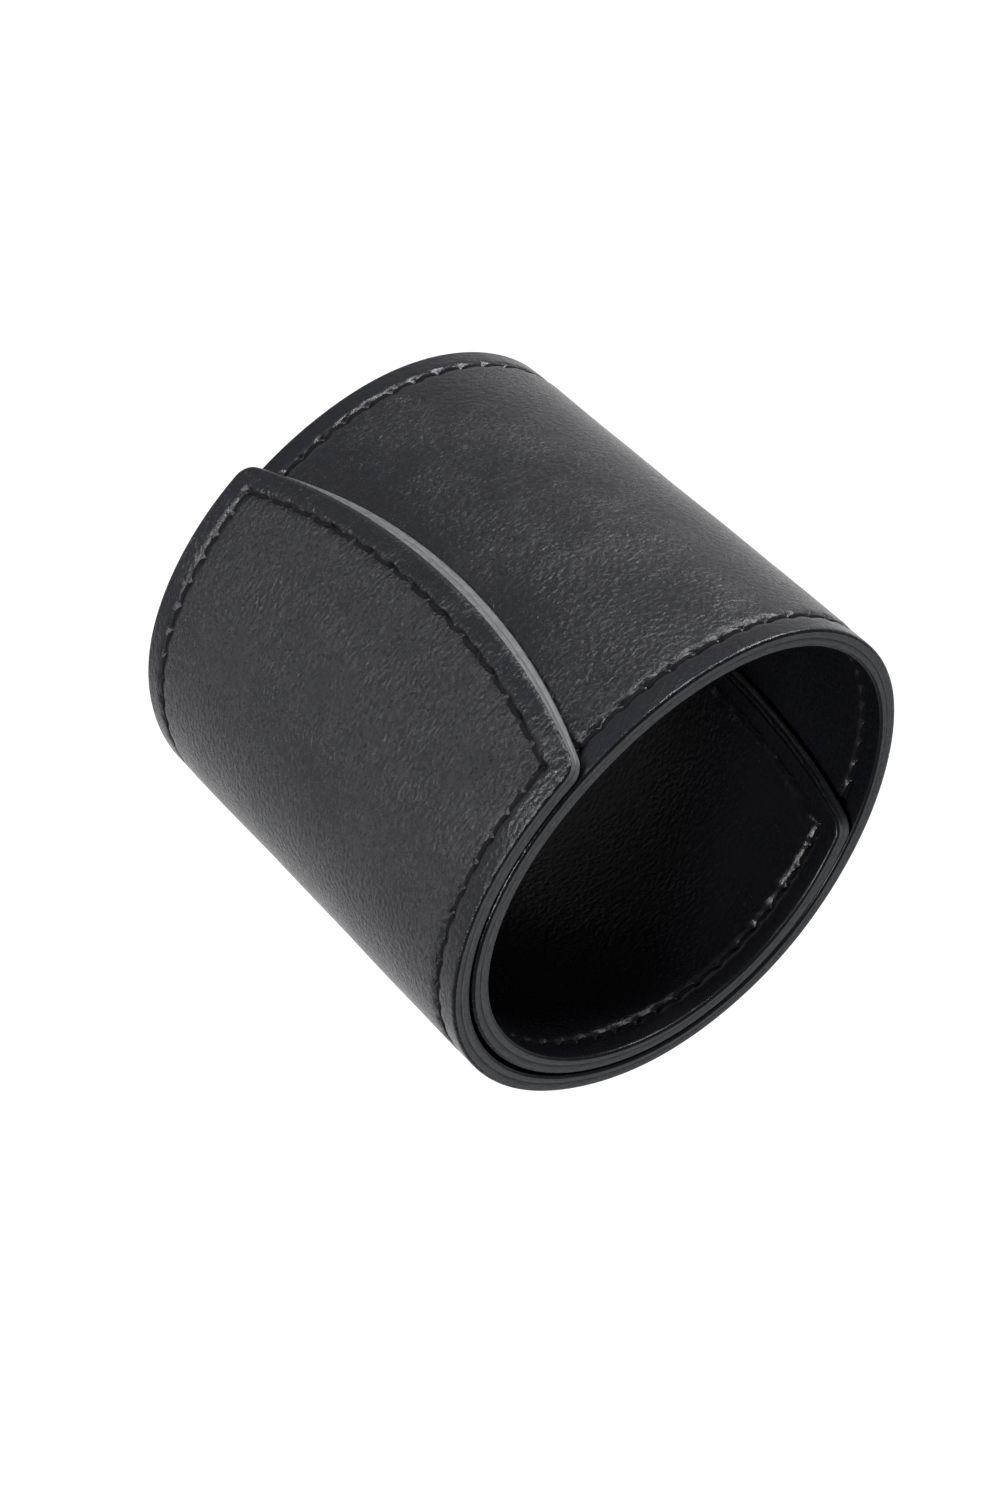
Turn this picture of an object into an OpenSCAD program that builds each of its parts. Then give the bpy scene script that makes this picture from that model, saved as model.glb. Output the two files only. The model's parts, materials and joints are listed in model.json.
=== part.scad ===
// Wrap-around leather cup: a two-ply stitched band rolled one and a half turns into an open tube.
// It stands upright on one rim. +Z runs along the roll, the origin is at the centre of the footprint,
// and the outer flap ends at the front (-Y). Seen from above, the band runs anticlockwise from the
// flap's end and drops inwards as it goes. The bending leather is divided into rigid arcs, and each
// arc turns against the next about a line on the outer face, so that the band unrolls.

/* [Roll] */
// Outer diameter of the roll where the flap ends
roll_d = 82; // [76:1:100]
// Height of the roll, which is the width of the band
roll_h = 75; // [60:1:100]
// Angle that the band wraps between the corners of its two ends, in degrees
wrap_deg = 577; // [570:1:580]
// How much the radius drops in each full turn
turn_drop = 3.3; // [3.3:0.1:4.2]
// How many rigid arcs stand in for the bending leather
arcs = 19; // [17:2:19]

/* [Leather] */
// Thickness of the outer cover ply
cover_t = 1.55; // [1.4:0.05:1.7]
// Thickness of the lining ply
lining_t = 1.45; // [1.35:0.05:1.45]
// How far the middle of each end stands out past its corners
end_bulge = 9.3; // [6:0.1:11]
// Rounding of the corners at the ends
corner_r = 3.5; // [2:0.5:5]

/* [Stitching] */
// Distance from the edge of the leather to the middle of the stitch line
stitch_inset = 3.8; // [3:0.1:5]
// Width of the thread in its groove
thread_w = 0.8; // [0.5:0.1:1]
// Depth of the groove that the thread is pulled into
thread_sink = 0.4; // [0.2:0.05:0.5]

/* [Magnets] */
// Diameter of each hidden closing magnet
magnet_d = 7; // [5:0.5:7]
// Thickness of each hidden closing magnet
magnet_t = 0.8; // [0.5:0.1:0.9]
// Distance between the two magnets of a pair, along the height
magnet_gap = 36; // [24:1:44]
// Angle from the flap's corners back to the middle of its magnets, in degrees
magnet_deg = 2.5; // [2:0.5:4]

/* [Hidden] */
$fn = 96;
FRONT = -90;                     // direction in which the flap's corners point, in degrees
SLIT = 0.02;                     // half of the gap between two neighbouring arcs
REACH = 8;                       // length of a cutting prism on either side of the leather
ROUND_STEPS = 6;                 // straight pieces in a rounded corner
CURVE_STEPS = 24;                // straight pieces in the curve of an end
leather_t = cover_t + lining_t;
flap_r = roll_d / 2;
inner_end_r = flap_r - turn_drop * wrap_deg / 360;
flap_lead = degrees(end_bulge, flap_r) + 0.2;
inner_lead = degrees(end_bulge, inner_end_r) + 0.2;
arc_deg = (flap_lead + wrap_deg + inner_lead) / arcs;
last = arcs - 1;
end_r = (roll_h * roll_h / 4 + end_bulge * end_bulge) / (2 * end_bulge);

// Names of the nodes, with a two-figure number for each arc
function number(k) = str(k < 9 ? "0" : "", k + 1);
function names(stem) = [for (k = [0 : last]) str(stem, "_", number(k))];

// Angle that an arc of length s spans on a circle of radius r
function degrees(s, r) = s / r * 180 / PI;
function towards(a) = [cos(a), sin(a)];

// The spiral: arc k starts at band angle arc_start(k), has outer radius arc_r(k), and its centre
// moves so that it meets the arc before it smoothly
function arc_start(k) = k * arc_deg - flap_lead;
function arc_at(band_deg) = floor((band_deg + flap_lead) / arc_deg);
function arc_r(k) = flap_r - turn_drop * k * arc_deg / 360;
function free_centre(k) = k == 0 ? [0, 0]
    : free_centre(k - 1) + (arc_r(k - 1) - arc_r(k)) * towards(FRONT + arc_start(k));
function side(band_deg) = free_centre(arc_at(band_deg)) * towards(FRONT + band_deg) + arc_r(arc_at(band_deg));
MIDDLE = [(side(90) - side(270)) / 2, (side(180) - side(0)) / 2];
function arc_centre(k) = free_centre(k) - MIDDLE;

// Outline of an end in the flat, s into the band from its corners and z up, moved in by inset
function bow_centre() = end_r - end_bulge;
function round_s() = bow_centre() - sqrt(pow(end_r - corner_r, 2) - pow(roll_h / 2 - corner_r, 2));
function round_turn() = atan2(roll_h / 2 - corner_r, bow_centre() - round_s());
function meet_s(inset) = bow_centre() - sqrt(pow(end_r - inset, 2) - pow(roll_h / 2 - inset, 2));
function sharp_turn(inset) = atan2(roll_h / 2 - inset, bow_centre() - meet_s(inset));
function lower_corner(inset) = inset >= corner_r ? [[meet_s(inset), inset]]
    : [for (i = [0 : ROUND_STEPS])
        let (a = 270 - i / ROUND_STEPS * (90 - round_turn()))
        [round_s(), corner_r] + (corner_r - inset) * towards(a)];
function bow(inset) = let (turn = inset >= corner_r ? sharp_turn(inset) : round_turn())
    [for (i = [1 : CURVE_STEPS - 1])
        let (a = 180 + turn * (1 - 2 * i / CURVE_STEPS))
        [bow_centre(), roll_h / 2] + (end_r - inset) * towards(a)];
function flipped(points) = [for (i = [len(points) - 1 : -1 : 0]) [points[i][0], roll_h - points[i][1]]];
function end_outline(inset) = concat(
    [[3 * REACH, inset]], lower_corner(inset), bow(inset), flipped(lower_corner(inset)),
    [[3 * REACH, roll_h - inset]]);

// Part of arc k between two radii and two heights
module ring_arc(k, r_in, r_out, z_low, z_high, slit = SLIT) {
    trim = degrees(slit, arc_r(k));
    translate(arc_centre(k))
        rotate([0, 0, FRONT + arc_start(k) + trim])
            rotate_extrude(angle = arc_deg - 2 * trim)
                translate([r_in, z_low])
                    square([r_out - r_in, z_high - z_low]);
}

// Prism through the leather at one end of the band, with the end's outline moved in by inset
module end_prism(k, inset) {
    corners_deg = k == 0 ? 0 : wrap_deg;
    translate(arc_centre(k))
        rotate([0, 0, FRONT + corners_deg])
            translate([arc_r(k) - leather_t - REACH, 0, 0])
                rotate([90, 0, 90])
                    mirror([k == 0 ? 0 : 1, 0, 0])
                        linear_extrude(leather_t + 2 * REACH)
                            polygon(end_outline(inset));
}

// One ply of arc k, between two depths below the outer face, cut to the band's outline
module ply(k, depth_out, depth_in) {
    if (k == 0 || k == last)
        intersection() {
            ring_arc(k, arc_r(k) - depth_in, arc_r(k) - depth_out, 0, roll_h);
            end_prism(k, 0);
        }
    else
        ring_arc(k, arc_r(k) - depth_in, arc_r(k) - depth_out, 0, roll_h);
}

// Runs of thread on arc k, between two depths below the outer face
module thread_runs(k, depth_out, depth_in, slit = SLIT) {
    r_in = arc_r(k) - depth_in;
    r_out = arc_r(k) - depth_out;
    low = stitch_inset - thread_w / 2;
    high = stitch_inset + thread_w / 2;
    if (k == 0 || k == last)
        difference() {
            intersection() {
                ring_arc(k, r_in, r_out, 0, roll_h, slit);
                end_prism(k, low);
            }
            end_prism(k, high);
        }
    else {
        ring_arc(k, r_in, r_out, low, high, slit);
        ring_arc(k, r_in, r_out, roll_h - high, roll_h - low, slit);
    }
}

// Discs on arc k about a radial line at a band angle, from one radius outwards
module discs(k, band_deg, r_from, d, thickness) {
    for (side_z = [-1, 1])
        translate([arc_centre(k)[0], arc_centre(k)[1], roll_h / 2 + side_z * magnet_gap / 2])
            rotate([0, 0, FRONT + band_deg])
                translate([r_from, 0, 0])
                    rotate([0, 90, 0])
                        cylinder(h = thickness, d = d);
}

// A magnet lies flat in a pocket in the lining, with its rim just under the cover
function magnet_arc(turn) = arc_at(magnet_deg + 360 * turn);
function magnet_top(k) = sqrt(pow(arc_r(k) - cover_t, 2) - pow(magnet_d / 2, 2)) - 0.05;
function magnet_bottom(k) = magnet_top(k) - magnet_t;

module magnets(turn) {
    k = magnet_arc(turn);
    color([0.72, 0.73, 0.75])
        discs(k, magnet_deg + 360 * turn, magnet_bottom(k), magnet_d, magnet_t);
}

module pockets(k) {
    for (turn = [0, 1])
        if (magnet_arc(turn) == k)
            discs(k, magnet_deg + 360 * turn, magnet_bottom(k) - 0.05, magnet_d + 0.2, lining_t + REACH);
}

module cover(k) {
    color([0.09, 0.09, 0.10])
        difference() {
            ply(k, 0, cover_t);
            thread_runs(k, -1, thread_sink, 0);
        }
}

module lining(k) {
    color([0.05, 0.05, 0.055])
        difference() {
            ply(k, cover_t, leather_t);
            thread_runs(k, leather_t - thread_sink, leather_t + 1, 0);
            pockets(k);
        }
}

// The top thread lies in the cover's groove and the bobbin thread in the lining's groove
module stitching(k) {
    color([0.02, 0.02, 0.02]) {
        thread_runs(k, 0.05, thread_sink);
        thread_runs(k, leather_t - thread_sink, leather_t - 0.05);
    }
}

for (k = [0 : last]) {
    cover(k);
    lining(k);
    stitching(k);
}
magnets(0);  // flap_magnets
magnets(1);  // wall_magnets
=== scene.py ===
"""A rolled two-ply leather wrap, sewn round its edge. Lengths are in mm until a mesh is made."""

import json
import math

import bpy
import numpy as np
from mathutils import Matrix, Vector

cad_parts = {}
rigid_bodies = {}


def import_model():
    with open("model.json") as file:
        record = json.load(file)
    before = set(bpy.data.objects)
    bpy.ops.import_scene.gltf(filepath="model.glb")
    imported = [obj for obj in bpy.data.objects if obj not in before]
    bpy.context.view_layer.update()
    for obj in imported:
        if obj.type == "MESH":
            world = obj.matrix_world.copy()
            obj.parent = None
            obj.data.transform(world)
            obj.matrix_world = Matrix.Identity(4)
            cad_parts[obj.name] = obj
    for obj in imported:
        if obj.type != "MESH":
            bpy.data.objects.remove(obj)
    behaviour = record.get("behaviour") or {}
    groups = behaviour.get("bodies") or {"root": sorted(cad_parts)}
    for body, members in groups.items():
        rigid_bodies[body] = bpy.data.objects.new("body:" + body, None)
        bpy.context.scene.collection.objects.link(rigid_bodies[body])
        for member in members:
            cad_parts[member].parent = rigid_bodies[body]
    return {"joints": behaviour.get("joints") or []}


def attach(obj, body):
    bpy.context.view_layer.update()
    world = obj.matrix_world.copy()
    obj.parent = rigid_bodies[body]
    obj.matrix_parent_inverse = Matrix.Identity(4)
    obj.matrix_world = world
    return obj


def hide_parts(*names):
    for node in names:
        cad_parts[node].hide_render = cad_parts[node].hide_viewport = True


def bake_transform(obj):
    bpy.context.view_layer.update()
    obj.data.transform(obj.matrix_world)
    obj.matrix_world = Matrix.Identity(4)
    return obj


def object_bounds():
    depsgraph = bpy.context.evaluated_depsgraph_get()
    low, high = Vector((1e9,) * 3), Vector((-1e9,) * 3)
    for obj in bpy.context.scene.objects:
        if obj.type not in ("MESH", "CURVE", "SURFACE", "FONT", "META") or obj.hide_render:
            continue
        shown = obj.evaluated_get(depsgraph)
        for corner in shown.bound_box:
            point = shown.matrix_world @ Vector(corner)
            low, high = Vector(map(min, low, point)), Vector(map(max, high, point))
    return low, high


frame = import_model()
cad_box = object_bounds()

# ------------------------------------------------------------------ sizes, as in part.scad
FRONT = -math.pi / 2
WRAP = math.radians(577)
COVER = 1.55
THICK = 3.0
BULGE = 9.3
CORNER = 3.5
INSET = 3.8

# ------------------------------------------------------------------ sizes that only the look needs
PITCH = 4.2  # from needle hole to needle hole
THREAD = 0.36  # half of a stitch's width
EDGE_ROUND = 0.45
# the flap's end is skived: its cut slopes, most in the middle, in mm along for each mm of thickness
SLANT_CORNER = 0.15
SLANT_MIDDLE = 0.8
SLANT_KEPT = 6.0
SLANT_GONE = 17.0
HEIGHT = 1000 * (cad_box[1].z - cad_box[0].z)
END_RADIUS = (HEIGHT**2 / 4 + BULGE**2) / (2 * BULGE)
# how far the wrap departs from a true spiral: waves in a turn, and the size of their cosine and sine
# parts, in mm. These and the camera below were fitted by least squares to outlines read off the photo.
SWAY = ((2, -0.55, -0.42), (3, -0.61, 0.39))
# columns and rows are close together at an edge and at its seam
STEPS = (0, 0.08, 0.2, 0.35, 0.55, 0.8, 1.15, 1.6, 2.1, 2.5, 2.8, 3.05, 3.3, 3.55, 3.8,
         4.05, 4.3, 4.55, 4.85, 5.2, 5.7, 6.3, 7.0)
BOW_KEPT = 7.0
BOW_GONE = 20.0


def smooth(value, low, high):
    t = np.clip((value - low) / (high - low), 0, 1)
    return t * t * (3 - 2 * t)


# ------------------------------------------------------------------ the spiral, from the hinges
def arc_number(name):
    return int(name.split("_")[1])


hinge_at = {}
for joint in frame["joints"]:
    first = min(arc_number(joint["parent"]), arc_number(joint["child"]))
    hinge_at[first] = np.array(joint["pos_m"][:2]) * 1000
ARCS = len(hinge_at) + 1
hinge = np.array([hinge_at[k] for k in range(1, ARCS)])
chord = np.diff(hinge, axis=0)
heading = np.unwrap(np.arctan2(chord[:, 1], chord[:, 0]))
ARC = float(np.mean(np.diff(heading)))
first_turn = heading[0] - math.pi / 2 - ARC / 2
LEAD = ARC - (first_turn - FRONT) % (2 * math.pi)
radius = np.hypot(*chord.T) / (2 * math.sin(ARC / 2))
drop = float(np.mean(np.diff(radius)))
radius = np.concatenate([[radius[0] - drop], radius, [radius[-1] + drop]])


def towards(turn):
    return np.stack([np.cos(turn + FRONT), np.sin(turn + FRONT)], -1)


turn_at = np.arange(ARCS + 1) * ARC - LEAD
centre = np.array([hinge[max(k - 1, 0)] - radius[k] * towards(turn_at[max(k, 1)]) for k in range(ARCS)])
along_at = np.concatenate([[0], np.cumsum(radius * ARC)]) - LEAD * radius[0]
LENGTH = float(np.interp(WRAP, turn_at, along_at))


def ripple(s, z):
    """The slow unevenness of the hide, in mm."""
    return (0.05 * np.sin(s / 9.1 + 0.5 + 0.02 * z) * np.cos(z / 13.0 + 0.3)
            + 0.03 * np.sin(s / 4.3 + z / 7.7) + 0.02 * np.sin(z / 3.1 - s / 6.1))


def place(s, z, depth):
    """Where a point of the flat strip lies in the roll. depth is measured inwards from the outer face."""
    into = smooth(s + BULGE * 4 * z * (HEIGHT - z) / HEIGHT**2, SLANT_KEPT, SLANT_GONE)
    s = s + (THICK - depth) * (1 - into) * (SLANT_CORNER + SLANT_MIDDLE * 4 * z * (HEIGHT - z) / HEIGHT**2)
    turn = np.interp(s, along_at, turn_at)
    k = np.clip(((turn + LEAD) // ARC).astype(int), 0, ARCS - 1)
    out = radius[k] - depth + ripple(s, z)
    for waves, cosine, sine in SWAY:
        out = out + cosine * np.cos(waves * turn) + sine * np.sin(waves * turn)
    flat = centre[k] + out[..., None] * towards(turn)
    return np.concatenate([flat, np.asarray(z, float)[..., None]], -1)


# ------------------------------------------------------------------ the strip's grid
def bow(z):
    """How far an end stands out past its corners, at height z."""
    return np.sqrt(END_RADIUS**2 - (z - HEIGHT / 2) ** 2) - (END_RADIUS - BULGE)


def spaced(steps, total, gap):
    """Positions from 0 to total with the close steps at both ends, and about gap apart between them."""
    steps = list(steps)
    middle = np.linspace(steps[-1], total - steps[-1], int((total - 2 * steps[-1]) / gap) + 1)
    return np.array(steps + list(middle[1:-1]) + [total - x for x in reversed(steps)])


lean = math.atan2(HEIGHT / 2, END_RADIUS - BULGE)
CORNER_ALONG = CORNER / math.tan((math.pi / 2 + lean) / 2)
CORNER_UP = CORNER_ALONG * math.cos(lean)

columns = spaced(STEPS, LENGTH, 0.6)
rows = spaced(STEPS, HEIGHT, 1.1)
X, Z = np.meshgrid(columns, rows, indexing="ij")
from_end = np.minimum(X, LENGTH - X)
from_side = np.minimum(Z, HEIGHT - Z)
# the square corner of the grid is pressed into the rounded corner of the leather
a = np.clip((CORNER_ALONG - from_end) / CORNER_ALONG, 0, 1)
b = np.clip((CORNER_UP - from_side) / CORNER_UP, 0, 1)
near_corner = (a > 0) & (b > 0)
new_end = np.where(near_corner, CORNER_ALONG * (1 - a * np.sqrt(1 - b * b / 2)), from_end)
new_side = np.where(near_corner, CORNER_UP * (1 - b * np.sqrt(1 - a * a / 2)), from_side)
Z = np.where(Z < HEIGHT / 2, new_side, HEIGHT - new_side)
reach = bow(Z) * (1 - smooth(new_end, BOW_KEPT, BOW_GONE))
S = np.where(X < LENGTH / 2, new_end - reach, LENGTH - new_end + reach)
NJ, NI = S.shape


def ring_of(j_count, i_count):
    """The grid's border as (column, row), once round."""
    border = [(j, 0) for j in range(j_count)]
    border += [(j_count - 1, i) for i in range(1, i_count)]
    border += [(j, i_count - 1) for j in range(j_count - 2, -1, -1)]
    border += [(0, i) for i in range(i_count - 2, 0, -1)]
    return np.array(border)


border = ring_of(NJ, NI)
outline = np.stack([S[border[:, 0], border[:, 1]], Z[border[:, 0], border[:, 1]]], -1)


def distance_to_line(points, line):
    """The distance from each point to a closed line of straight pieces."""
    start, end = line, np.roll(line, -1, 0)
    leg = end - start
    size = np.maximum((leg**2).sum(-1), 1e-12)
    best = np.full(len(points), 1e9)
    for block in range(0, len(points), 2000):
        p = points[block:block + 2000, None, :]
        t = np.clip(((p - start) * leg).sum(-1) / size, 0, 1)
        gap = p - start - t[..., None] * leg
        best[block:block + 2000] = np.sqrt((gap**2).sum(-1).min(1))
    return best


# within END_ZONE of an end, the edge can be its bow, so the distance is to END_OUTLINE of the outline
END_ZONE = 16
END_OUTLINE = 26
edge = np.minimum(Z, HEIGHT - Z)
for is_end in (X < END_ZONE, X > LENGTH - END_ZONE):
    near = outline[np.abs(outline[:, 0] - (0 if is_end[0, 0] else LENGTH)) < END_OUTLINE]
    # the piece of outline at this end is an open U, so it starts at its longest gap
    gaps = np.hypot(*(np.roll(near, -1, 0) - near).T)
    near = np.roll(near, -int(np.argmax(gaps)) - 1, 0)
    close = np.concatenate([near, near[::-1]])
    edge[is_end] = distance_to_line(np.stack([S[is_end], Z[is_end]], -1), close)


# ------------------------------------------------------------------ the seam
def seam_path():
    """The needle holes, in order round the strip."""
    inner = END_RADIUS - INSET
    low, high = INSET, HEIGHT - INSET
    corner = (END_RADIUS - BULGE) - math.sqrt(inner**2 - (HEIGHT / 2 - INSET) ** 2)
    half = math.asin((HEIGHT / 2 - INSET) / inner)
    sweep = np.linspace(-half, half, int(round(2 * half * inner / PITCH)) + 1)
    rise = HEIGHT / 2 + inner * np.sin(sweep)
    out = (END_RADIUS - BULGE) - inner * np.cos(sweep)
    run = np.linspace(corner, LENGTH - corner, int(round((LENGTH - 2 * corner) / PITCH)) + 1)
    flap = np.stack([out, rise], -1)[::-1]
    bottom = np.stack([run, np.full(len(run), low)], -1)
    tail = np.stack([LENGTH - out, rise], -1)
    top = np.stack([run[::-1], np.full(len(run), high)], -1)
    return np.concatenate([flap[:-1], bottom[:-1], tail[:-1], top[:-1]])


# points farther than SEAM_REACH from the seam count as FAR from every needle hole
SEAM_REACH = 3.4
FAR = 9.0
holes = seam_path()
hole_gap = np.full(S.shape, FAR)
by_seam = np.abs(edge - INSET) < SEAM_REACH
spots = np.stack([S[by_seam], Z[by_seam]], -1)
nearest = np.full(len(spots), FAR)
for block in range(0, len(spots), 4000):
    d = spots[block:block + 4000, None, :] - holes
    nearest[block:block + 4000] = np.sqrt((d**2).sum(-1).min(1))
hole_gap[by_seam] = nearest
along_seam = np.sqrt(np.maximum(hole_gap**2 - (edge - INSET) ** 2, 0))


def crumple(s, z, seed):
    """Short irregular creases, about -1 to 1."""
    return (np.sin(s * 1.9 + seed + 1.3 * np.sin(z * 0.9 + seed)) * np.cos(z * 1.3 - seed + np.sin(s * 0.8))
            + 0.5 * np.sin(s * 3.7 - z * 2.3 + 2 * seed)) / 1.5


# depths of the relief's features, in mm
MARGIN_DEPTH = 0.07
VALLEY_DEPTH = 0.32
HOLE_DEPTH = 0.55
PUCKER_DEPTH = 0.055
CREASE_DEPTH = 0.035
TAIL_CREASE_DEPTH = 0.26


def relief(side):
    """How far each point of a face lies under the plain surface, in mm."""
    rounded = np.where(edge < EDGE_ROUND, EDGE_ROUND - np.sqrt(np.maximum(
        EDGE_ROUND**2 - (EDGE_ROUND - np.minimum(edge, EDGE_ROUND)) ** 2, 0)), 0)
    pressed = MARGIN_DEPTH * (1 - smooth(edge, 3.0, 5.6))
    valley = VALLEY_DEPTH * np.exp(-(((edge - INSET) / 0.62) ** 2))
    pit = HOLE_DEPTH * np.exp(-((hole_gap / 0.5) ** 2))
    band = np.exp(-(((edge - INSET - 0.3) / 1.5) ** 2))
    pucker = PUCKER_DEPTH * band * np.cos(2 * math.pi * along_seam / PITCH)
    rough = CREASE_DEPTH * band * crumple(S, Z, 1.7 if side == "cover" else 4.1)
    if side == "lining":
        tail = smooth(X, LENGTH - 40, LENGTH - 5)
        near_seam = np.exp(-(((edge - 4.4) / 2.2) ** 2))
        rough = rough + TAIL_CREASE_DEPTH * tail * near_seam * crumple(S * 0.8, Z * 0.8, 2.9)
    return rounded + pressed + valley + pit + pucker + rough


# ------------------------------------------------------------------ closed plies
PLY_LINE = 0.14  # how far a ply's edge draws in at the line between the plies
PLY_GAP = 0.02  # half of the gap between the plies
EDGE_LEVELS = 5  # rows of faces over a ply's cut edge
inner_j = np.clip(border[:, 0], 1, NJ - 2)
inner_i = np.clip(border[:, 1], 1, NI - 2)
inward = np.stack([S[inner_j, inner_i], Z[inner_j, inner_i]], -1) - outline
inward /= np.linalg.norm(inward, axis=1)[:, None]
girth = np.concatenate([[0], np.cumsum(np.hypot(*np.diff(outline, axis=0).T))])


def fibres(level):
    """The cut edge's uneven fibres, in mm, for one level through the thickness."""
    return (0.028 * np.sin(girth * 5.3 + level * 2.1) + 0.022 * np.sin(girth * 9.7 - level * 3.7)
            + 0.03 * np.sin(girth * 0.9 + level))


def ply(side):
    """One whole closed ply: its points in the flat strip, and the column and edge flag of each face."""
    shown = relief(side)
    back = COVER - PLY_GAP if side == "cover" else COVER + PLY_GAP
    shown_depth = shown if side == "cover" else THICK - shown
    rim = shown_depth[border[:, 0], border[:, 1]]
    flat = [np.stack([S, Z, shown_depth], -1).reshape(-1, 3)]
    back_s, back_z = S.copy(), Z.copy()
    back_s[border[:, 0], border[:, 1]] += PLY_LINE * inward[:, 0]
    back_z[border[:, 0], border[:, 1]] += PLY_LINE * inward[:, 1]
    # the next line in moves as well, so that the back's border stays in order
    for ring_in, share in ((1, 0.9), (2, 0.6), (3, 0.2)):
        jj = np.clip(border[:, 0], ring_in, NJ - 1 - ring_in)
        ii = np.clip(border[:, 1], ring_in, NI - 1 - ring_in)
        back_s[jj, ii] = S[jj, ii] + PLY_LINE * share * inward[:, 0]
        back_z[jj, ii] = Z[jj, ii] + PLY_LINE * share * inward[:, 1]
    flat.append(np.stack([back_s, back_z, np.full(S.shape, back)], -1).reshape(-1, 3))
    for level in range(1, EDGE_LEVELS):
        t = level / EDGE_LEVELS
        tuck = PLY_LINE * smooth(t, 0.45, 1.0) + fibres(level) * math.sin(math.pi * t)
        ring = outline + tuck[:, None] * inward
        flat.append(np.column_stack([ring, rim + (back - rim) * t]))
    count = NJ * NI
    grid = np.arange(count).reshape(NJ, NI)
    loops = [grid[border[:, 0], border[:, 1]]]
    for level in range(EDGE_LEVELS - 1):
        loops.append(2 * count + len(border) * level + np.arange(len(border)))
    loops.append(grid[border[:, 0], border[:, 1]] + count)
    corners = [grid[:-1, :-1], grid[1:, :-1], grid[1:, 1:], grid[:-1, 1:]]
    face = np.stack(corners, -1).reshape(-1, 4)
    if side == "lining":
        face = face[:, ::-1]
    column = np.repeat(np.arange(NJ - 1), NI - 1)
    faces = [face, face[:, ::-1] + count]
    column_of = [column, column]
    is_edge = [np.zeros(len(face), int), np.zeros(len(face), int)]
    border_column = np.minimum(border[:, 0], np.roll(border[:, 0], -1))
    border_column = np.minimum(border_column, NJ - 2)
    for upper, lower in zip(loops[:-1], loops[1:]):
        wall = np.stack([upper, lower, np.roll(lower, -1), np.roll(upper, -1)], -1)
        faces.append(wall if side == "cover" else wall[:, ::-1])
        column_of.append(border_column)
        is_edge.append(np.ones(len(wall), int))
    return {
        "flat": np.concatenate(flat), "faces": np.concatenate(faces), "column": np.concatenate(column_of),
        "is_edge": np.concatenate(is_edge), "grid": grid, "loops": np.array(loops), "side": side,
    }


def vertex_normals(points, faces):
    a, b, c, d = (points[faces[:, n]] for n in range(4))
    across = np.cross(c - a, d - b)
    total = np.zeros_like(points)
    for n in range(4):
        np.add.at(total, faces[:, n], across)
    return total / np.maximum(np.linalg.norm(total, axis=1), 1e-12)[:, None]


def new_mesh(name, points_mm, faces, normals=None, materials=(), material_index=None, attributes=None,
             flat_from=None):
    """A mesh object in metres. faces is a list of vertex lists; normals has one row for each face corner."""
    mesh = bpy.data.meshes.new(name)
    sizes = np.array([len(f) for f in faces])
    mesh.vertices.add(len(points_mm))
    mesh.vertices.foreach_set("co", (np.asarray(points_mm) * 0.001).astype(np.float32).ravel())
    mesh.loops.add(int(sizes.sum()))
    mesh.loops.foreach_set("vertex_index", np.concatenate(faces).astype(np.int32))
    mesh.polygons.add(len(faces))
    mesh.polygons.foreach_set("loop_start", np.concatenate([[0], np.cumsum(sizes)[:-1]]).astype(np.int32))
    rounded = np.ones(len(faces), bool)
    rounded[flat_from if flat_from is not None else len(faces):] = False
    mesh.polygons.foreach_set("use_smooth", rounded)
    for m in materials:
        mesh.materials.append(m)
    if material_index is not None:
        mesh.polygons.foreach_set("material_index", np.asarray(material_index, np.int32))
    for key, values in (attributes or {}).items():
        kind = "FLOAT_VECTOR" if values.ndim == 2 else "FLOAT"
        layer = mesh.attributes.new(key, kind, "POINT")
        layer.data.foreach_set("vector" if values.ndim == 2 else "value", values.astype(np.float32).ravel())
    mesh.update(calc_edges=True)
    mesh.validate()
    if normals is not None:
        mesh.normals_split_custom_set(normals.tolist())
    made = bpy.data.objects.new(name, mesh)
    bpy.context.scene.collection.objects.link(made)
    return made


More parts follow.
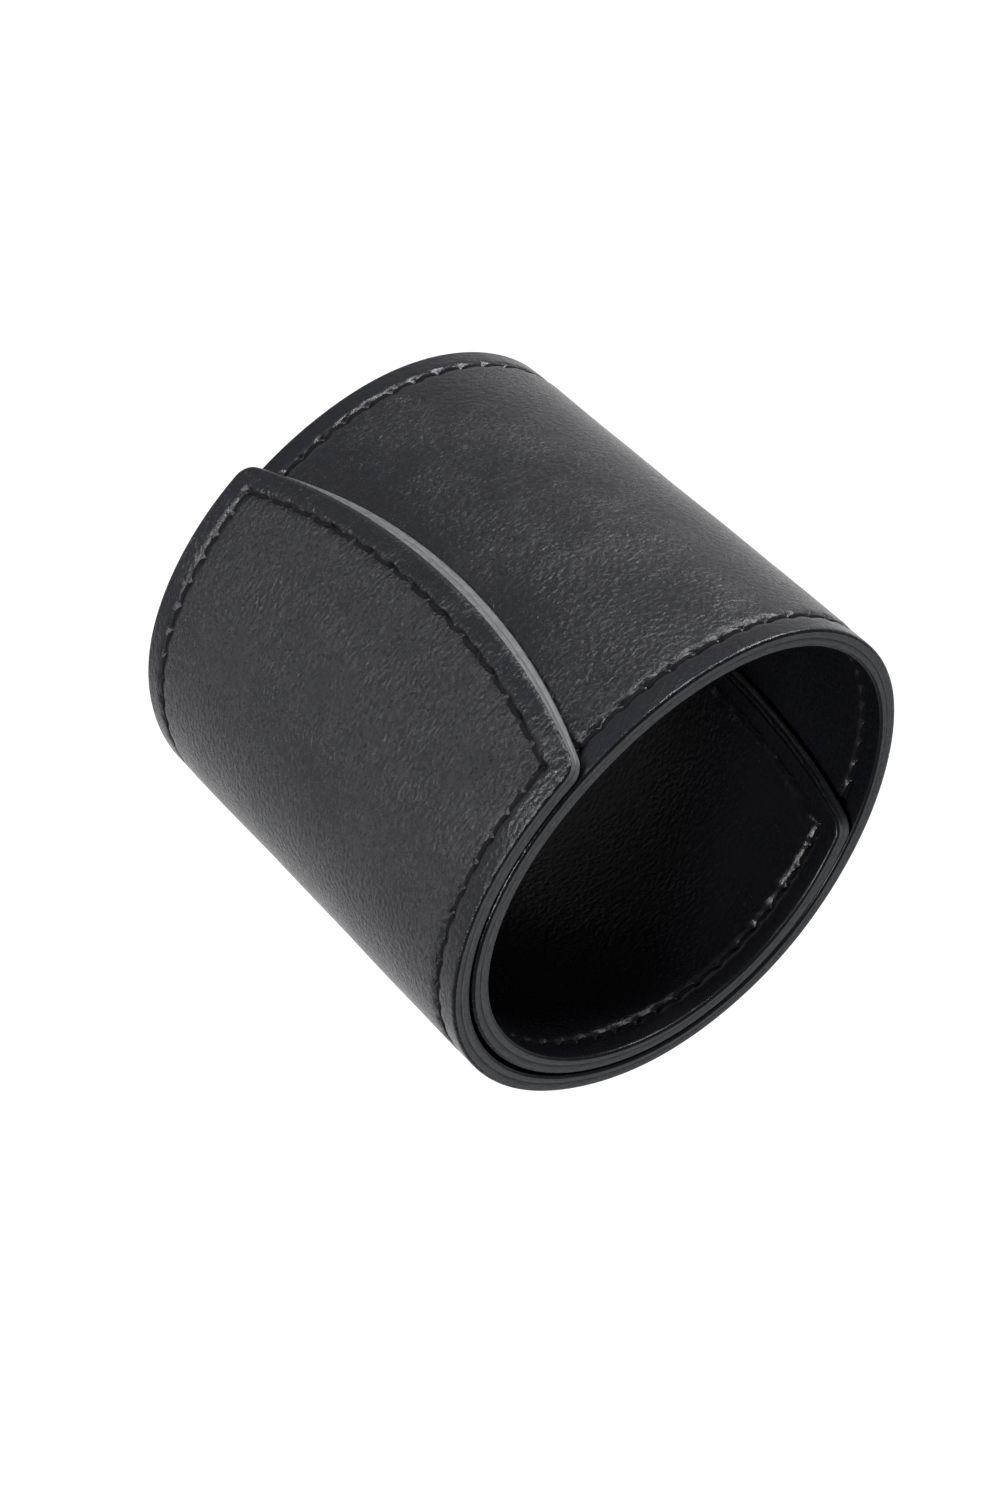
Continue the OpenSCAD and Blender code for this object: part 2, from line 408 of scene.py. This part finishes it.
# ------------------------------------------------------------------ materials
class Graph:
    """A material and a short way to add nodes to it."""

    def __init__(self, name):
        self.material = bpy.data.materials.new(name)
        self.material.use_nodes = True
        self.tree = self.material.node_tree
        self.shader = self.tree.nodes["Principled BSDF"]

    def add(self, kind, links=None, **settings):
        node = self.tree.nodes.new(kind)
        for key, value in settings.items():
            setattr(node, key, value)
        for key, value in (links or {}).items():
            if isinstance(value, bpy.types.NodeSocket):
                self.tree.links.new(value, node.inputs[key])
            else:
                node.inputs[key].default_value = value
        return node

    def maths(self, operation, first, second=0.0):
        return self.add("ShaderNodeMath", {0: first, 1: second}, operation=operation).outputs[0]

    def remap(self, value, low, high, to_low=0.0, to_high=1.0):
        node = self.add("ShaderNodeMapRange", {"Value": value, "From Min": low, "From Max": high,
                                               "To Min": to_low, "To Max": to_high},
                        interpolation_type="SMOOTHSTEP")
        return node.outputs["Result"]

    def read(self, name, output):
        return self.add("ShaderNodeAttribute", attribute_name=name).outputs[output]

    def stretch(self, vector, scale):
        return self.add("ShaderNodeVectorMath", {0: vector, 1: scale}, operation="MULTIPLY").outputs[0]

    def noise(self, vector, scale, detail=3.0, rough=0.5, warp=0.0):
        return self.add("ShaderNodeTexNoise", {"Vector": vector, "Scale": scale, "Detail": detail,
                                               "Roughness": rough, "Distortion": warp}).outputs["Fac"]

    def cells(self, vector, scale, feature="F1"):
        return self.add("ShaderNodeTexVoronoi", {"Vector": vector, "Scale": scale},
                        feature=feature).outputs["Distance"]

    def mix(self, factor, first, second):
        return self.add("ShaderNodeMix", {0: factor, 6: first, 7: second}, data_type="RGBA").outputs[2]

    def bump(self, height, distance, strength=1.0, normal=None):
        links = {"Height": height, "Distance": distance, "Strength": strength}
        if normal is not None:
            links["Normal"] = normal
        return self.add("ShaderNodeBump", links).outputs["Normal"]

    def finish(self, **inputs):
        for key, value in inputs.items():
            key = key.replace("_", " ")
            if isinstance(value, bpy.types.NodeSocket):
                self.tree.links.new(value, self.shader.inputs[key])
            else:
                self.shader.inputs[key].default_value = value
        return self.material


def leather(name, tone, grain_depth, base_rough, ior):
    """Black leather: pebbles drawn out along the strip, pores, and a smooth pressed margin."""
    g = Graph(name)
    hide = g.read("hide", "Vector")
    edge_gap = g.read("edge", "Fac")
    warp = g.add("ShaderNodeTexNoise", {"Vector": hide, "Scale": 0.35, "Detail": 2.0}).outputs["Color"]
    moved = g.add("ShaderNodeVectorMath", {0: warp, 1: (0.7, 0.7, 0.7)}, operation="MULTIPLY").outputs[0]
    moved = g.add("ShaderNodeVectorMath", {0: hide, 1: moved}, operation="ADD").outputs[0]
    drawn = g.stretch(moved, (0.62, 1.0, 1.0))
    pebble = g.cells(drawn, 1.7, "SMOOTH_F1")
    crease = g.noise(drawn, 2.1, 3.0, 0.6, 0.4)
    fine = g.noise(moved, 5.0, 3.0, 0.6)
    pore = g.remap(g.cells(moved, 1.25), 0.02, 0.13, 1.0, 0.0)
    patch = g.noise(hide, 0.09, 3.0, 0.55)
    margin = g.remap(edge_gap, 3.2, 5.0, 0.45, 1.0)
    along = g.add("ShaderNodeSeparateXYZ", {0: hide}).outputs[0]
    near_seam = g.remap(along, 25.0, 80.0, 1.0, 0.5)
    depth = g.maths("MULTIPLY", g.maths("MULTIPLY", margin, near_seam),
                    g.remap(patch, 0.3, 0.7, 0.75, 1.25))
    height = g.maths("ADD", g.maths("MULTIPLY", pebble, 0.8), g.maths("MULTIPLY", crease, 0.75))
    height = g.maths("ADD", height, g.maths("MULTIPLY", fine, 0.28))
    height = g.maths("SUBTRACT", height, g.maths("MULTIPLY", pore, 0.35))
    normal = g.bump(height, grain_depth, depth)
    rough = g.maths("ADD", g.remap(crease, 0.3, 0.7, base_rough + 0.05, base_rough - 0.05),
                    g.remap(patch, 0.3, 0.7, 0.03, -0.03))
    rough = g.maths("ADD", rough, g.maths("MULTIPLY", pore, 0.15))
    # the colour follows the crease relief: its hollows are painted darker, as painted shade, and its ridges
    # lighter, as painted light
    dark = tuple(x * 0.6 for x in tone) + (1.0,)
    light = tuple(x * 1.25 for x in tone) + (1.0,)
    colour = g.mix(g.remap(crease, 0.35, 0.65), dark, light)
    return g.finish(Base_Color=colour, Roughness=rough, Normal=normal, IOR=ior)


def cut_edge(name):
    """The dyed and burnished cut edge: grey, with fibres running round the strip."""
    g = Graph(name)
    hide = g.read("hide", "Vector")
    lines = g.noise(g.stretch(hide, (0.5, 0.5, 3.0)), 1.6, 4.0, 0.65, 0.4)
    across = g.noise(g.stretch(hide, (2.0, 2.0, 0.6)), 1.5, 3.0, 0.6)
    both = g.maths("ADD", g.maths("MULTIPLY", lines, 0.6), g.maths("MULTIPLY", across, 0.4))
    colour = g.mix(g.remap(both, 0.35, 0.65), (0.016, 0.0165, 0.018, 1), (0.044, 0.0452, 0.0488, 1))
    rough = g.remap(both, 0.3, 0.7, 0.5, 0.62)
    return g.finish(Base_Color=colour, Roughness=rough, Normal=g.bump(both, 0.00014, 0.9), IOR=1.4)


def waxed_thread(name):
    g = Graph(name)
    hide = g.read("hide", "Vector")
    strand = g.noise(g.stretch(hide, (3.0, 3.0, 3.0)), 2.2, 3.0, 0.6)
    colour = g.mix(strand, (0.0006, 0.0006, 0.0009, 1), (0.0025, 0.0025, 0.003, 1))
    rough = g.remap(strand, 0.3, 0.7, 0.65, 0.85)
    return g.finish(Base_Color=colour, Roughness=rough, Normal=g.bump(strand, 0.00005, 0.7), IOR=1.12)


def plated(name):
    g = Graph(name)
    spot = g.noise(g.add("ShaderNodeTexCoord").outputs["Object"], 900.0, 3.0, 0.6)
    rough = g.remap(spot, 0.3, 0.7, 0.16, 0.3)
    return g.finish(Base_Color=(0.72, 0.73, 0.75, 1), Metallic=1.0, Roughness=rough,
                    Normal=g.bump(spot, 0.00002, 0.4))


# grain depths are in metres. The index of refraction of both leathers and of the thread is lower than the
# real one: it was lowered because the even surroundings made the black leather too pale.
cover_skin = leather("cover_leather", (0.0009, 0.001, 0.0024), 0.00042, 0.27, 1.24)
lining_skin = leather("lining_leather", (0.0026, 0.0027, 0.0038), 0.00014, 0.30, 1.22)
edge_finish = cut_edge("edge_finish")
thread_finish = waxed_thread("waxed_thread")
magnet_finish = plated("nickel_plate")

# ------------------------------------------------------------------ sections, each round one hinge
LINING_SHIFT = 40.0  # moves the lining's grain, so that it isn't a copy of the cover's
middle_turn = turn_at[:-1] + ARC / 2
cut_along = np.interp(middle_turn, turn_at, along_at)
cut_columns = [0] + [int(np.argmin(np.abs(columns - cut_along[k]))) for k in range(1, ARCS - 1)] + [NJ - 1]


def bend_at(piece):
    """Bakes the piece's placement into its mesh."""
    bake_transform(piece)


def replaced(kind, section):
    """The CAD nodes that a section stands for; the last one also covers the inner end's."""
    numbers = [section] + ([ARCS] if section == ARCS - 1 else [])
    return [f"{kind}_{n:02d}" for n in numbers]


def caps(whole, j, facing):
    """The cut face across the strip at column j."""
    grid, count = whole["grid"], NJ * NI
    front, back = grid[j], grid[j] + count
    quads = [[front[i], front[i + 1], back[i + 1], back[i]] for i in range(NI - 1)]
    low = int(np.nonzero((border[:, 0] == j) & (border[:, 1] == 0))[0][0])
    high = int(np.nonzero((border[:, 0] == j) & (border[:, 1] == NI - 1))[0][0])
    quads.append(list(whole["loops"][:, low][::-1]))
    quads.append(list(whole["loops"][:, high]))
    flip = (whole["side"] == "lining") != (facing < 0)
    return [q[::-1] if flip else q for q in quads]


def build_ply(side, kind, skin):
    whole = ply(side)
    points = place(*whole["flat"].T)
    normals = vertex_normals(points, whole["faces"])
    edges = np.concatenate([edge.ravel(), edge.ravel(), np.zeros(len(points) - 2 * NJ * NI)])
    hide = whole["flat"] + np.array([0, 0, 0 if side == "cover" else LINING_SHIFT])
    for section in range(1, ARCS):
        j0, j1 = cut_columns[section - 1], cut_columns[section]
        keep = (whole["column"] >= j0) & (whole["column"] < j1)
        faces = [list(f) for f in whole["faces"][keep]]
        index = list(whole["is_edge"][keep])
        corner_normals = [normals[whole["faces"][keep]].reshape(-1, 3)]
        skin_faces = len(faces)
        for j, facing, at_cut in ((j0, -1, section > 1), (j1, 1, section < ARCS - 1)):
            if not at_cut:
                continue
            flat_faces = caps(whole, j, facing)
            way = points[whole["grid"][min(j + 1, NJ - 1), NI // 2]] - points[whole["grid"][j - 1, NI // 2]]
            way = facing * way / np.linalg.norm(way)
            faces += flat_faces
            index += [0] * len(flat_faces)
            corner_normals.append(np.tile(way, (sum(len(f) for f in flat_faces), 1)))
        used, flat_index = np.unique(np.concatenate(faces), return_inverse=True)
        sizes = np.cumsum([len(f) for f in faces])[:-1]
        faces = np.split(flat_index, sizes)
        piece = new_mesh(f"{kind}_skin_{section:02d}", points[used], faces, np.concatenate(corner_normals),
                         (skin, edge_finish), index, {"hide": hide[used], "edge": edges[used]}, skin_faces)
        bend_at(piece)
        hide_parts(*replaced(kind, section))


# ------------------------------------------------------------------ stitches
ROUND = 10
RINGS = 12
STITCH_TOP = 0.42  # depth of a stitch's axis at its middle, in mm
STITCH_DIVE = 0.75  # how much deeper it is at a needle hole
STITCH_FLAT = 0.85  # a thread's height as a share of its width
TWIST_PITCH = 1.3  # along a stitch, for one turn of its strands


def stitch(start, end, side, number):
    """One stitch from a needle hole to the next: its points in the flat strip, and its faces."""
    leg = end - start
    span = np.linalg.norm(leg)
    ahead = leg / span
    aside = np.array([-ahead[1], ahead[0]])
    t = np.linspace(0.04, 0.96, RINGS)
    shape = (1 - np.abs(2 * t - 1) ** 6) ** 0.5
    width = THREAD * np.clip(shape, 0.15, 1) * (1 + 0.05 * math.sin(number * 1.7))
    depth = STITCH_TOP + STITCH_DIVE * np.abs(2 * t - 1) ** 4 + 0.03 * math.sin(number * 2.3)
    wander = 0.07 * math.sin(number * 1.1) * np.sin(math.pi * t) + 0.05 * (2 * t - 1)
    angle = np.linspace(0, 2 * math.pi, ROUND, endpoint=False)
    twist = 1 + 0.09 * np.cos(2 * angle[None, :] - 2 * math.pi * span / TWIST_PITCH * t[:, None])
    sideways = wander[:, None] + width[:, None] * twist * np.cos(angle)
    up = depth[:, None] - STITCH_FLAT * width[:, None] * twist * np.sin(angle)
    if side == "lining":
        up = THICK - up
    flat = start + leg * t[:, None, None] + aside * sideways[..., None]
    flat = np.concatenate([flat, up[..., None]], -1).reshape(-1, 3)
    faces = []
    for ring in range(RINGS - 1):
        for n in range(ROUND):
            m = (n + 1) % ROUND
            quad = [ring * ROUND + n, ring * ROUND + m, (ring + 1) * ROUND + m, (ring + 1) * ROUND + n]
            faces.append(quad[::-1] if side == "cover" else quad)
    first, last = list(range(ROUND)), list(range((RINGS - 1) * ROUND, RINGS * ROUND))
    faces += [first, last[::-1]] if side == "cover" else [first[::-1], last]
    return flat, faces


def build_stitches():
    sections = {n: ([], [], 0) for n in range(1, ARCS)}
    cuts = np.array([columns[j] for j in cut_columns])
    for number, start in enumerate(holes):
        end = holes[(number + 1) % len(holes)]
        section = int(np.clip(np.searchsorted(cuts, (start[0] + end[0]) / 2), 1, ARCS - 1))
        for side in ("cover", "lining"):
            points, faces, total = sections[section]
            flat, quads = stitch(start, end, side, number)
            points.append(flat)
            faces += [np.array(q) + total for q in quads]
            sections[section] = (points, faces, total + len(flat))
    for section, (points, faces, _) in sections.items():
        flat = np.concatenate(points)
        piece = new_mesh(f"seam_{section:02d}", place(*flat.T), faces, None, (thread_finish,), None,
                         {"hide": flat})
        bend_at(piece)
        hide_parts(*replaced("stitching", section))


build_ply("cover", "cover", cover_skin)
build_ply("lining", "lining", lining_skin)
build_stitches()


# ------------------------------------------------------------------ magnets
MAGNET_RADIUS = 3.5
MAGNET_TOP = COVER + 0.1
MAGNET_THICK = 0.8
MAGNET_BEVEL = 0.12
MAGNET_GAP = 36.0
MAGNET_TURN = math.radians(2.5)
MAGNET_SIDES = 48


def magnets(name, node, body, turn):
    """A pair of bevelled discs inside the lining, turn round the roll from the flap's corners."""
    rim = MAGNET_RADIUS
    profile = ((rim - MAGNET_BEVEL, 0.0), (rim, MAGNET_BEVEL), (rim, MAGNET_THICK - MAGNET_BEVEL),
               (rim - MAGNET_BEVEL, MAGNET_THICK))
    s = float(np.interp(turn, turn_at, along_at))
    flat, faces = [], []
    for z in (HEIGHT / 2 - MAGNET_GAP / 2, HEIGHT / 2 + MAGNET_GAP / 2):
        base = len(flat)
        for r, depth in profile:
            for n in range(MAGNET_SIDES):
                turned = 2 * math.pi * n / MAGNET_SIDES
                flat.append((s + r * math.cos(turned), z + r * math.sin(turned), MAGNET_TOP + depth))
        for ring in range(len(profile) - 1):
            low, high = base + ring * MAGNET_SIDES, base + (ring + 1) * MAGNET_SIDES
            for n in range(MAGNET_SIDES):
                m = (n + 1) % MAGNET_SIDES
                faces.append(np.array([low + n, high + n, high + m, low + m]))
        faces.append(np.arange(base, base + MAGNET_SIDES))
        faces.append(np.arange(base + 3 * MAGNET_SIDES, base + 4 * MAGNET_SIDES)[::-1])
    piece = new_mesh(name, place(*np.array(flat).T), faces, None, (magnet_finish,))
    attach(piece, body)
    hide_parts(node)


magnets("flap_discs", "flap_magnets", "arc_01", MAGNET_TURN)
magnets("wall_discs", "wall_magnets", "arc_12", MAGNET_TURN + 2 * math.pi)

# ------------------------------------------------------------------ stage
FLOOR_RADIUS = 3000.0
rings = [0.0, 30.0, 36.0, 42.0, 80.0, 300.0, 1000.0, FLOOR_RADIUS]  # only the last one shows
spokes = 96
FLOOR_Z = -0.02
FLOOR_GREY = (0.16, 0.16, 0.16, 1)
FLOOR_GLOW = 0.95  # the floor gives off light, to look like the photo's blank white
floor_points = [(0.0, 0.0, 0.0)]
for r in rings[1:]:
    for n in range(spokes):
        turn = 2 * math.pi * n / spokes
        floor_points.append((r * math.cos(turn), r * math.sin(turn), FLOOR_Z))
floor_faces = [np.array([0, 1 + n, 1 + (n + 1) % spokes]) for n in range(spokes)]
for ring in range(len(rings) - 2):
    base = 1 + ring * spokes
    for n in range(spokes):
        m = (n + 1) % spokes
        floor_faces.append(np.array([base + n, base + spokes + n, base + spokes + m, base + m]))
floor_look = Graph("floor")
floor_look.shader.inputs["Emission Color"].default_value = (1, 1, 1, 1)
floor_look.finish(Base_Color=FLOOR_GREY, Roughness=0.9, Emission_Strength=FLOOR_GLOW)
floor = new_mesh("floor", np.array(floor_points), floor_faces, None, (floor_look.material,))

# the surroundings are bright up to HORIZON_LOW, and dim to SKY_LIGHT by HORIZON_HIGH (z of a unit vector)
HORIZON_LOW = 0.1
HORIZON_HIGH = 0.45
HORIZON_LIGHT = 1.0
SKY_LIGHT = 0.4
world = bpy.data.worlds.new("studio")
bpy.context.scene.world = world
world.use_nodes = True
tree = world.node_tree
direction = tree.nodes.new("ShaderNodeTexCoord").outputs["Generated"]
split = tree.nodes.new("ShaderNodeSeparateXYZ")
tree.links.new(direction, split.inputs[0])
ramp = tree.nodes.new("ShaderNodeMapRange")
ramp.interpolation_type = "SMOOTHSTEP"
ramp.inputs["From Min"].default_value = HORIZON_LOW
ramp.inputs["From Max"].default_value = HORIZON_HIGH
ramp.inputs["To Min"].default_value = HORIZON_LIGHT
ramp.inputs["To Max"].default_value = SKY_LIGHT
tree.links.new(split.outputs["Z"], ramp.inputs["Value"])
background = tree.nodes["Background"]
background.inputs["Color"].default_value = (0.97, 0.98, 1.0, 1)
tree.links.new(ramp.outputs["Result"], background.inputs["Strength"])


def softbox(name, position_mm, aim_mm, width_mm, height_mm, watts):
    data = bpy.data.lights.new(name, "AREA")
    data.shape = "RECTANGLE"
    data.size = width_mm / 1000
    data.size_y = height_mm / 1000
    data.energy = watts
    lamp = bpy.data.objects.new(name, data)
    lamp.location = Vector(position_mm) / 1000
    lamp.rotation_euler = (Vector(aim_mm) - Vector(position_mm)).to_track_quat("-Z", "Y").to_euler()
    bpy.context.scene.collection.objects.link(lamp)


softbox("key", (-750, -150, 100), (0, 0, 40), 420, 160, 12.0)
softbox("side", (-480, -580, 60), (0, 0, 40), 160, 90, 7.0)
softbox("front", (200, -640, 50), (0, 0, 40), 110, 80, 9.0)
softbox("inner", (520, -430, 330), (-20, 20, 60), 160, 160, 8.0)

# ------------------------------------------------------------------ the photograph's camera
CAMERA_MM = (-7.5, -351.4, 271.7)
AZIMUTH = math.radians(-92.08)
ELEVATION = math.radians(33.50)
ROLL = math.radians(-133.28)
LENS = 69.6
SENSOR = 36.0
back = Vector((math.cos(ELEVATION) * math.cos(AZIMUTH), math.cos(ELEVATION) * math.sin(AZIMUTH),
               math.sin(ELEVATION)))
level = (-back).cross(Vector((0, 0, 1))).normalized()
down = (-back).cross(level)
right = level * math.cos(ROLL) + down * math.sin(ROLL)
down = -level * math.sin(ROLL) + down * math.cos(ROLL)
camera_data = bpy.data.cameras.new("camera")
camera_data.lens = LENS
camera_data.sensor_width = SENSOR
camera_data.clip_start = 0.01
camera_data.clip_end = 20.0
camera = bpy.data.objects.new("camera", camera_data)
turned = Matrix((right, -down, back)).transposed().to_4x4()
camera.matrix_world = Matrix.Translation(Vector(CAMERA_MM) / 1000) @ turned
bpy.context.scene.collection.objects.link(camera)
bpy.context.scene.camera = camera
bpy.context.scene.view_settings.view_transform = "Standard"
